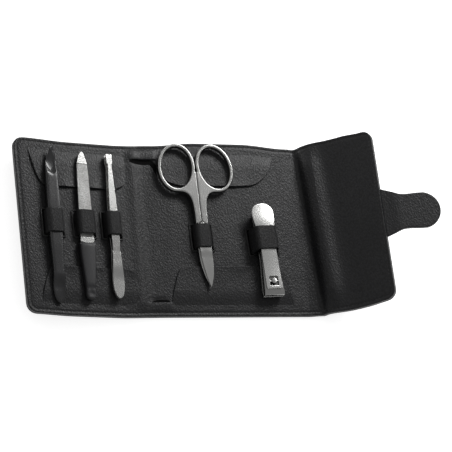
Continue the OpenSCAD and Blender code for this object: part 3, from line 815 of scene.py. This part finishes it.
def makeLiningFlaps():
    borderY = halfHeight - liningFlaps["border"]
    thick = liningFlaps["thickness"]
    right, left = sRight - liningFlaps["farCorner"], sMid + 1
    farLeft = sLeft - caseShape["leftWidth"] + liningFlaps["farCorner"]

    def flap(name, outline, body, node, freeY):
        def lifted(s, y, under):
            free = math.prod(1 - math.exp(-((s - place) / wide) ** 4) for place, wide in liningFlaps["heldDown"])
            rise = liningFlaps["edgeLift"] + liningFlaps["openLift"] * free
            rise *= math.exp(-max(0.0, abs(y) - abs(freeY)) / 5.0)
            start, end = liningFlaps["fade"]
            fade = ease((abs(y) - start) / (end - start))
            return waves(s, y) * 0.8 + rise - (thick + 0.5) * fade

        piece = cutSheet(name, outline, thick, 0.3, lambda s, y, h: onCase(s, y, h + thick),
                         ["lining", "lining", "cutEdge"], top=lifted)
        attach(piece, body)
        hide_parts(node)
        return piece

    e = liningFlaps["middleTopEdge"]
    flap("middleTopFlap", smoothCurve([(right, borderY), (right - 3.5, e + 12.5), (right - 10, e + 4.5),
                                       (right - 17, e + 0.9), (right - 28, e)])
         + smoothCurve([(left + 13, e), (left + 5, e + 3), (left + 0.5, e + 10.5), (left, borderY)]),
         "middle_panel", "middle_top_flap", e)
    e = liningFlaps["middleLowEdge"]
    flap("middleLowerFlap", smoothCurve([(left, -borderY), (left, e - 21), (left + 4.6, e - 6.1),
                                         (left + 7.7, e - 0.8), (left + 12, e)])
         + smoothCurve([(right - 11, e), (right - 4.5, e - 2.5), (right - 1.5, e - 13), (right + 1.5, -borderY)]),
         "middle_panel", "middle_lower_flap", e)
    e = liningFlaps["leftTopEdge"]
    r = farLeft
    flap("leftTopFlap", smoothCurve([(r - 5, borderY), (r - 1.2, e + 11.4), (r + 2.3, e + 2.4), (r + 6.3, e)])
         + smoothCurve([(sLeft - 17, e), (sLeft - 11.5, e + 2.6), (sLeft - 9, e + 7.4), (sLeft - 8, borderY)]),
         "left_panel", "left_top_flap", e)
    e = liningFlaps["leftLowEdge"]
    flap("leftLowerFlap", smoothCurve([(sLeft - 8, -borderY), (sLeft - 8, e - 6.5), (sLeft - 10.5, e - 1.5),
                                       (sLeft - 16, e)])
         + smoothCurve([(r + 7.8, e), (r + 3.3, e - 2), (r - 1.2, e - 12.5), (r - 4.5, -borderY)]),
         "left_panel", "left_lower_flap", e)


makeLiningFlaps()
print("lining flaps made")

slotShadeHeight = 0.25            # of the dark sheets over the leather
# painted shade: near-black sheets laid in the openings under the doubled strips beside the left fold, where the
# strips' shadow falls: (middle line, half width)
slots = {
    "topSlotShade": (((-60.2, 43.6), (-57.5, 43.2), (-51.0, 42.7), (-47.0, 42.6), (-45.6, 41.4), (-44.7, 39.4),
                 (-44.2, 35.4)), 1.45),
    "lowSlotShade": (((-55.2, -44.5), (-50.0, -44.2), (-44.6, -44.3)), 0.8),
}


def onSlotShade(s, y, h):
    return onCase(s, y, h + caseRelief(s, y, farFromEdge) + slotShadeHeight)


def makeSlotShades():
    for name, (path, wide) in slots.items():
        middle = smoothCurve(path, 5)
        last = len(middle) - 1
        sides = ([], [])
        for i, (s, y) in enumerate(middle):
            way = (Vector(middle[min(i + 1, last)]) - Vector(middle[max(i - 1, 0)])).normalized()
            grow = wide * min(1.0, 0.15 + 4.0 * min(i, last - i) / len(middle))  # the ends are pointed
            sides[0].append((s - way.y * grow, y + way.x * grow))
            sides[1].append((s + way.y * grow, y - way.x * grow))
        # each sheet is painted shade, laid over the leather where the opening's shadow falls
        bendOver(cutSheet(name, sides[0] + sides[1][::-1], 0.3, 0.05, onSlotShade, ["inside"], step=1.2), "leftSkin")


makeSlotShades()

strap = {
    "length": 34.0, "rootWidth": 31.0, "endWidth": 22.5, "thickness": 2.7, "rootThickness": 1.5,
    "fall": 32.0,            # degrees from the flap's slope
    "seamInset": 1.6,
}


def onStrap(x, y, h):
    # x runs out from the flap's edge along the strap, h up from its outer face
    tilt = math.radians(flapTilt - strap["fall"] * ease(x / 5 + 0.4))
    base = folds["strap_fold"]
    lean = math.radians(flapTilt - strap["fall"] if x > 0 else flapTilt)
    return Vector((base.x + x * math.cos(lean) - h * math.sin(tilt), y,
                   base.z + x * math.sin(lean) + h * math.cos(tilt))) * mm


def strapOutline(inset=0.0):
    r = strap["endWidth"] / 2 - inset
    neck = strap["length"] - strap["endWidth"]
    length = strap["length"] - inset
    side = smoothCurve([(-0.6, strap["rootWidth"] / 2 - inset), (neck / 2, r + 1.6), (neck, r - 0.4),
                        (length - r - 2, r - 0.2)])
    tip = [(length - r + r * math.cos(math.radians(a)), r * math.sin(math.radians(a))) for a in range(80, 0, -8)]
    half = side + tip
    return half + [(length, 0.0)] + [(x, -y) for x, y in reversed(half)]


def bendStrap(piece):
    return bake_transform(piece)


def makeStrap():
    full, thin = strap["thickness"], strap["rootThickness"]

    def rootSlope(x, y, under):
        return 0.0 if under else -(full - thin) * (1 - ease(x / 9))

    piece = cutSheet("strap", strapOutline(), full, 0.5, lambda x, y, h: onStrap(x, y, h + full),
                     ["lining", "outer", "cutEdge"], top=rootSlope)
    bendStrap(piece)
    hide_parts("strap_outer_leather", "strap_inner_leather")
    path = finePath([p for p in strapOutline(strap["seamInset"]) if p[0] > 1.2])

    def onSeam(x, y, h):
        return onStrap(x, y, h + (rootSlope(x, y, False) if h > 1 else 0))

    for face, height in (("Inner", full - 0.02), ("Outer", 0.02)):
        bendStrap(stitchRow(f"strap{face}Stitches", path, onSeam, height))


makeStrap()
print("strap made")

# loops
loops = {
    # centre along s and y, half width inside at the top and at the feet, height inside, turn, body, node
    "pusherLoop": (sLeft - leftTools["pusher"][0], 1.0, 4.0, 4.3, 5.1, 0.0, "left_panel", "pusher_loop"),
    "fileLoop": (sLeft - leftTools["file"][0], 1.0, 4.5, 4.6, 4.9, 0.0, "left_panel", "file_loop"),
    "tweezersLoop": (sLeft - leftTools["tweezers"][0], 1.0, 3.6, 3.9, 5.35, 0.0, "left_panel", "tweezers_loop"),
    "scissorsLoop": (scissorsPlace, -5.0, 3.95, 4.4, 4.7, 0.0, "middle_panel", "scissors_loop"),
    "clipperLoop": (17.237, -7.526, 5.8, 6.9, 9.0, clipperTurn, "middle_panel", "clipper_loop"),
}
loopShape = {"length": 14.4, "thickness": 0.9, "bend": 2.0, "rim": 0.28, "shoulder": 1.5, "crown": 0.12}
# the slit of each foot: how far it reaches to both sides of the leather and past its ends, and its lip
slitShape = {"inside": 0.7, "outside": 1.5, "beyond": 0.7, "lip": 0.9, "lipHeight": 0.8, "seamInset": 0.45}


def roundedPath(corners, radius, steps=5):
    out = [Vector(corners[0])]
    for a, b, c in zip(corners, corners[1:], corners[2:]):
        a, b, c = Vector(a), Vector(b), Vector(c)
        r = min(radius, (a - b).length * 0.45, (c - b).length * 0.45)
        first, last = b + (a - b).normalized() * r, b + (c - b).normalized() * r
        for k in range(steps + 1):
            t = k / steps
            out.append(first * (1 - t) ** 2 + b * 2 * t * (1 - t) + last * t * t)
    return out + [Vector(corners[-1])]


def makeLoops():
    for name, (s0, y0, halfTop, halfFeet, inner, turn, body, node) in loops.items():
        thick, shoulder = loopShape["thickness"], loopShape["shoulder"]
        wall, foot, height = halfTop + thick, halfFeet + thick, inner + thick
        corners = [(foot, -0.9), (foot, 0.15), (wall, height - shoulder), (wall - shoulder, height)]
        path = roundedPath([(-x, z) for x, z in corners] + corners[::-1], loopShape["bend"])
        lengths = [0.0]
        for a, b in zip(path, path[1:]):
            lengths.append(lengths[-1] + (b - a).length)

        def placed(x, y, h):
            s, along = spun(x, y, math.radians(turn))
            return onCase(s0 + s, y0 + along, h)

        def onLoop(s, y, h):
            k = max(i for i in range(len(lengths) - 1) if lengths[i] <= s + 1e-9)
            a, b = path[k], path[k + 1]
            t = (s - lengths[k]) / max(lengths[k + 1] - lengths[k], 1e-9)
            before = path[max(k - 1, 0)]
            after = path[min(k + 2, len(path) - 1)]
            way = ((b - before).normalized() * (1 - t) + (after - a).normalized() * t).normalized()
            return placed(a.x + (b.x - a.x) * t - way.y * h, y, a.y + (b.y - a.y) * t + way.x * h)

        def crown(s, y, edge):
            return (loopShape["crown"] * math.sin(math.pi * s / lengths[-1])
                    * math.cos(y / loopShape["length"] * math.pi))

        half = loopShape["length"] / 2
        piece = slab(name, (0.0, lengths[-1]), (-half, half), (False, False, True, True), thick,
                     loopShape["rim"], onLoop, ["loop", "loop", "cutEdge"], step=0.6, top=crown)
        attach(piece, body)
        if name == "scissorsLoop":
            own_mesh(piece)
        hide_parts(node)

        # the slit that each foot goes through, with its pressed-up lip (its lighter leather a painted highlight), a
        # near-black sheet of painted shade inside, and row of stitches
        reach = half + slitShape["beyond"]
        for way, side in ((-1, "Left"), (1, "Right")):
            near = way * (halfFeet + thick / 2 - slitShape["inside"])
            far = way * (halfFeet + thick / 2 + slitShape["outside"])

            def frameOf(grow):
                a, b, c = near - way * grow, far + way * grow, reach + grow
                middle = ((a + b) / 2, -c)
                ring = roundedPath([middle, (b, -c), (b, c), (a, c), (a, -c), middle], min(0.6 + grow * 0.5, 1.2))
                return [tuple(p) for p in ring[:-1]]

            high = slitShape["lipHeight"]
            seam = far + way * slitShape["seamInset"]
            for extra in (
                    # painted highlight: the lip takes the lighter raw-edge leather, standing for the light it catches
                    cutSheet(name + side + "Lip", frameOf(slitShape["lip"]), high + 0.3, 0.36,
                             lambda x, y, h: placed(x, y, h + high), ["cutEdge"], step=3.0, holes=[frameOf(0.0)],
                             spacing=0.8),
                    # painted shade: a near-black sheet in the slit, standing for the shade inside it
                    cutSheet(name + side + "PaintedShade", frameOf(0.2), 0.3, 0.05,
                             lambda x, y, h: placed(x, y, h + 0.06), ["inside"], step=2.5),
                    stitchRow(name + side + "Stitches", [(seam, -reach), (seam, reach)], placed, high - 0.03)):
                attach(extra, body)


makeLoops()
print("loops made")


# tools
def softened(node, name, body, finish, width):
    # the CAD solid with its edges broken, as a polished part has them
    mesh = frame["nodes"][node].data.copy()
    piece = bpy.data.objects.new(name, mesh)
    bpy.context.collection.objects.link(piece)
    net = bmesh.new()
    net.from_mesh(mesh)
    bmesh.ops.remove_doubles(net, verts=net.verts, dist=1e-6)
    bmesh.ops.dissolve_limit(net, angle_limit=math.radians(2), verts=net.verts, edges=net.edges)
    net.to_mesh(mesh)
    net.free()
    mesh.materials.clear()
    mesh.materials.append(finishes[finish])
    mesh.polygons.foreach_set("use_smooth", [True] * len(mesh.polygons))
    bevel = piece.modifiers.new("brokenEdges", "BEVEL")
    bevel.width, bevel.segments, bevel.limit_method = width * mm, 3, "ANGLE"
    bevel.angle_limit = math.radians(28)
    bevel.harden_normals = True
    graph = bpy.context.evaluated_depsgraph_get()
    done = bpy.data.meshes.new_from_object(piece.evaluated_get(graph))
    piece.modifiers.clear()
    piece.data = done
    done.polygons.foreach_set("material_index", [0] * len(done.polygons))
    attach(piece, body)
    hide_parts(node)
    return piece


def joined(name, parts):
    # several closed shells of one piece of metal, made one object that keeps each shell's finish
    net = bmesh.new()
    slots = []
    for part in parts:
        start, material = len(net.faces), part.data.materials[0]
        net.from_mesh(part.data)
        if material not in slots:
            slots.append(material)
        net.faces.ensure_lookup_table()
        for face in net.faces[start:]:
            face.material_index = slots.index(material)
        bpy.data.objects.remove(part)
    whole = bpy.data.meshes.new(name)
    net.to_mesh(whole)
    net.free()
    for material in slots:
        whole.materials.append(material)
    piece = bpy.data.objects.new(name, whole)
    bpy.context.collection.objects.link(piece)
    return piece


def finishPiece(piece, node, body, angle=32):
    piece.data.set_sharp_from_angle(angle=math.radians(angle))
    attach(piece, body)
    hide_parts(node)


scissors = {
    # seen from above for the half on the right, measured from the screw
    "thick": 3.2, "gap": 0.24, "lap": 0.04, "ring": (11.4, 15.3), "ringPlace": (11.85, 42.2), "ringLean": 7.5,
    "wall": 1.8, "shoulder": -11.0, "bladeBend": 1.5,
    "shank": ((3.75, 5.4), (3.75, 9), (3.8, 14), (4.1, 18.5), (4.9, 22.4), (6.6, 25.3), (9.2, 26.7), (12.2, 26.9)),
    "back": ((0.2, -33.0), (-1.0, -30.2), (-2.5, -25.5), (-3.6, -18), (-3.75, -11), (-3.75, -5)),
    "edge": ((3.4, -8.5), (3.0, -14), (2.4, -20), (1.5, -27), (0.2, -33.0)),
    "lowerRoot": ((-3.75, 5), (-2.8, 6.4), (0.5, 8.6), (3.75, 6.4), (3.75, -5)),
    "upperRoot": ((-3.75, 4.85), (0.05, 7.6), (3.75, 5.0), (3.75, -5)),
}


def ringOval(shrink, fromTurn, toTurn, count):
    (a, b), (cx, cy), lean = scissors["ring"], scissors["ringPlace"], math.radians(scissors["ringLean"])
    out = []
    for i in range(count):
        t = math.radians(fromTurn + (toTurn - fromTurn) * i / max(1, count - 1))
        x, y = spun((a - shrink) * math.cos(t), (b - shrink) * math.sin(t), lean)
        out.append((cx + x, cy + y))
    return out


def bladeBend(y):
    # the closed blades curve a little to the right
    return scissors["bladeBend"] * ease((-8 - y) / 32)


def makeScissors():
    home = Vector(next(j["pos_m"] for j in frame["joints"] if j["name"] == "scissors_left_open")) / mm
    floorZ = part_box("scissors_right_half")[0][2] / mm
    thick, gap = scissors["thick"], scissors["gap"]
    handle = (smoothCurve(scissors["shank"])[:-1] + ringOval(0, -92, 186, 62)
              + [(gap / 2, 39.5), (gap / 2, 24), (gap / 2, 8.0)])
    ringHole = ringOval(scissors["wall"], 0, 354, 60)
    back, edge = smoothCurve(scissors["back"]), smoothCurve(scissors["edge"])

    for way, name, node, body in ((1, "scissorsRightHalf", "scissors_right_half", "scissors_right"),
                                  (-1, "scissorsLeftHalf", "scissors_left_half", "scissors_left")):
        upper = way < 0

        def placed(z):
            return lambda x, y, h: Vector((home.x + x, home.y + y, floorZ + z + h)) * mm

        def bladeFace(x, y, under):
            # ground thinner towards the tip and the cutting edge, behind a curved shoulder
            x = way * (x - bladeBend(y))
            past = ease((scissors["shoulder"] - y - 0.12 * x * x) / 1.4)
            thin = 0.25 * past + 0.55 * ease((scissors["shoulder"] - y) / 22)
            lift = thin + 0.3 * past * ease((x + 3.4) / 5.5)
            return (0.0 if upper else lift) if under else (-lift if upper else 0.0)

        grip = cutSheet(name + "Grip", [(way * x, y) for x, y in handle], thick, 0.42, placed(thick), ["satin"],
                        step=3.0, holes=[[(way * x, y) for x, y in ringHole]], spacing=0.9)
        root = scissors["upperRoot" if upper else "lowerRoot"]
        plan = [(way * x + bladeBend(y), y) for x, y in back[:-1] + [(-3.75, -5), *root] + edge[:-1]]
        lap = thick / 2 - scissors["lap"]
        blade = cutSheet(name + "Blade", plan, lap, 0.14, placed(thick if upper else lap), ["plain"], step=1.6,
                         top=bladeFace, spacing=0.8)
        finishPiece(joined(name, [grip, blade]), node, body)


def table(points, x):
    # smoothly mixed value from (place, value) pairs
    if x <= points[0][0]:
        return points[0][1]
    for (x0, v0), (x1, v1) in zip(points, points[1:]):
        if x <= x1:
            return v0 + (v1 - v0) * ease((x - x0) / (x1 - x0))
    return points[-1][1]


def spindle(pairs, steps=5):
    side = smoothCurve(pairs, steps)
    return side + [(-x, y) for x, y in reversed(side)]


def onLeftTool(tool, low):
    # a rigid place on the left panel: x to the right, y up, h above the tool's lower face
    (out, turn), lean = leftTools[tool], math.radians(caseShape["leftTilt"])
    turn = math.radians(turn)

    def spot(x, y, h):
        along, up = spun(x, y, -turn)
        u = -(out - x * math.cos(turn) - y * math.sin(turn))
        z = toolHeight + low + h
        return Vector((sLeft + u * math.cos(lean) + z * math.sin(lean), up,
                       innerFace - u * math.sin(lean) + z * math.cos(lean))) * mm
    return spot


pusher = {
    "thickness": 3.6, "dish": 1.25, "spoon": 0.6,
    "outline": ((0.25, -48.2), (1.7, -46.9), (2.95, -44.5), (3.7, -40.5), (3.75, -37), (3.35, -31), (3.5, -22),
                (3.9, -8), (3.9, 12), (3.75, 24), (3.6, 31), (3.2, 36.5), (2.35, 41.5), (1.1, 45.6), (0.25, 47.4)),
    "tipBend": 0.9,
    # height of the upper and lower faces along the tool
    "upper": ((-48.3, 0.75), (-40, 1.75), (-31, 3.35), (-12, 3.6), (10, 3.6), (27, 3.5), (40, 3.1), (47.4, 3.2)),
    "lower": ((-48.3, 0.1), (-30, 0.2), (0, 0.0), (26, 0.2), (47.4, 2.6)),
}


def makePusher():
    thick = pusher["thickness"]
    outline = [(x + pusher["tipBend"] * ease((y - 33) / 13), y) for x, y in spindle(pusher["outline"])]

    def form(x, y, under):
        if under:
            return table(pusher["lower"], y)
        dish = ease((y - 28.5 - 0.4 * abs(x) ** 1.6) / 5) * ease(1.2 - (x / 3.6) ** 2) * ease((47.6 - y) / 12)
        spoon = ease((-33.0 - 0.3 * abs(x) ** 1.6 - y) / 4.0) * ease(1.2 - (x / 3.4) ** 2) * ease((y + 48.2) / 8)
        return table(pusher["upper"], y) - thick - pusher["dish"] * dish - pusher["spoon"] * spoon

    piece = cutSheet("cuticlePusher", outline, thick, 0.95, onLeftTool("pusher", thick), ["dark"], step=0.85,
                     top=form, spacing=0.8)
    finishPiece(piece, "cuticle_pusher", "pusher", 50)


nailFile = {
    # name: (finish, how much it stands proud of the blade, half of its outline)
    "Body": ("grit", 0.0, [(table(((-12, 4.1), (0, 4.1), (28, 3.55), (37.5, 3.15)), y), y)
                           for y in (-8.0, 0, 10, 20, 28, 34, 37.4)]),
    "Tip": ("plain", -0.05, smoothCurve([(3.15, 37.6), (2.3, 41.2), (1.2, 44.0), (0.25, 45.2)])),
    "Root": ("plain", -0.05, [(4.1, -8.15), (4.1, -11.1), (2.0, -11.3), (2.0, -29)]),
}
fileShape = {
    "thickness": 1.2, "bladeHeight": 1.1, "handleThickness": 3.4,
    "handle": ((0.4, -46.0), (2.2, -45.2), (3.0, -43.0), (2.9, -40.2), (3.2, -36), (4.0, -27), (4.65, -18),
               (4.75, -12.0), (4.5, -11.3)),
    "dimple": (0.55, 0.2, -42.3), "neck": (0.35, -39.2),
}


def makeFile():
    parts = []
    for name, (finish, low, side) in nailFile.items():
        thick = fileShape["thickness"]
        parts.append(cutSheet("file" + name, side + [(-x, y) for x, y in reversed(side)], thick + 2 * low, 0.12,
                              onLeftTool("file", fileShape["bladeHeight"] + thick + low), [finish], step=3.0))
    finishPiece(joined("fileBlade", parts), "file_blade", "file")

    def form(x, y, under):
        if under:
            return 0.35 * ease((-36 - y) / 8)
        ends = 0.5 * ease((y + 13.5) / 2.2) + 0.5 * ease((-37 - y) / 8)
        deep, dimpleX, dimpleY = fileShape["dimple"]
        dimple = deep * math.exp(-((x - dimpleX) ** 2 + (y - dimpleY) ** 2) / 1.5)
        deep, neckY = fileShape["neck"]
        neck = deep * math.exp(-((y - neckY) / 1.5) ** 2)
        return -ends - dimple - neck - 0.018 * x * x

    thick = fileShape["handleThickness"]
    handle = cutSheet("fileHandle", spindle(fileShape["handle"]), thick, 0.8, onLeftTool("file", thick), ["handle"],
                      step=1.0, top=form)
    finishPiece(handle, "file_handle", "file", 50)


tweezers = {
    "height": 4.0, "arm": 0.9,
    "outline": ((0.5, -44.6), (2.0, -43.2), (3.1, -40), (3.5, -35.5), (3.3, -30), (2.8, -22), (2.5, -16.6),
                (2.25, -16.0), (2.45, -6), (2.5, 2), (2.15, 16), (1.65, 28), (1.2, 36), (1.25, 37.8), (1.75, 38.6),
                (1.8, 41), (1.7, 44.4)),
    "rise": ((-45, 0.0), (-34, 0.0), (-24, 0.5), (0, 1.1), (25, 1.0), (45, 0.9)),
    "line": (0.1, -16.3),    # depth and place of the shallow line across the upper arm
}


def makeTweezers():
    outline = spindle(tweezers["outline"], 4)
    for way, name, node, body in ((1, "tweezersUpperArm", "tweezers_upper_arm", "tweezers_arm"),
                                  (-1, "tweezersLowerArm", "tweezers_lower_arm", "tweezers")):
        def form(x, y, under):
            deep, place = tweezers["line"]
            step = deep * math.exp(-((y - place) / 0.5) ** 2) if way > 0 and not under else 0.0
            slant = 0.35 * ease((y - 43.2 - 0.5 * x) / 1.2) if (way > 0) != under else 0.0
            return way * (table(tweezers["rise"], y) - slant) - step

        low = tweezers["height"] / 2 + (tweezers["arm"] if way > 0 else 0.0)
        piece = cutSheet(name, outline, tweezers["arm"], 0.13, onLeftTool("tweezers", low), ["satin"], step=1.5,
                         top=form, spacing=0.9)
        finishPiece(piece, node, body)


clipper = {
    "place": (18.6, -43), "leverLow": 5.8, "leverThickness": 1.3,
    "lever": ((3.9, 3.8), (5.0, 4.4), (5.0, 9), (4.95, 14), (4.75, 26), (4.8, 34), (5.5, 40.5), (6.4, 45),
              (6.85, 49), (6.75, 51.8), (5.9, 54.3), (4.2, 56.0), (2.2, 56.8), (0.4, 57.0)),
    "leverHole": ((0, 5.4), (2.75, 5.4), (2.75, 11.2), (-2.75, 11.2), (-2.75, 5.4), (0, 5.4)),
}


def onLever(x, y, h):
    x, y = spun(x, y, math.radians(clipperTurn))
    high = innerFace + toolHeight + clipper["leverLow"] + clipper["leverThickness"] + h
    return Vector((clipper["place"][0] + x, clipper["place"][1] + y, high)) * mm


def makeClipper():
    hole = [tuple(p) for p in roundedPath(clipper["leverHole"], 0.7)[:-1]]

    def form(x, y, under):
        return 0.85 * ease((y - 14) / 30) - 0.7 * ease((y - 44) / 16) - 0.008 * x * x

    piece = cutSheet("clipperLever", spindle(clipper["lever"], 4), clipper["leverThickness"], 0.26, onLever,
                     ["polished"], step=1.6, top=form, holes=[hole], spacing=0.9)
    finishPiece(piece, "clipper_lever", "lever")
    softened("clipper_lower_jaw", "clipperLowerJaw", "clipper", "satin", 0.12)
    softened("clipper_upper_jaw", "clipperUpperJaw", "clipper_jaw", "satin", 0.12)
    post = softened("clipper_post", "clipperPost", "lever", "plain", 0.3)
    # painted shade: below its crown the post takes the black steel finish, standing for the shade down in the lever's
    # hole, so only the crown is bright
    post.data.materials.append(finishes["dark"])
    crown = max(v.co.z for v in post.data.vertices)
    for face in post.data.polygons:
        if face.center.z < crown - 0.4 * mm:
            face.material_index = 1


softened("scissors_screw", "scissorsScrew", "scissors", "satin", 0.1)
makePusher()
makeFile()
makeTweezers()
makeClipper()
makeScissors()
print("tools made")

# CAD nodes that stay, mostly hidden inside, take these finishes
kept = {
    "middle_board": "board", "left_board": "board", "flap_board": "board",
    "keeper_magnet": "magnet", "strap_magnet": "magnet",
    "clipper_pin": "satin", "clipper_rivet": "satin",
}
for nodeName, finish in kept.items():
    mesh = frame["nodes"][nodeName].data
    mesh.materials.clear()
    mesh.materials.append(finishes[finish])
print("kept nodes painted")
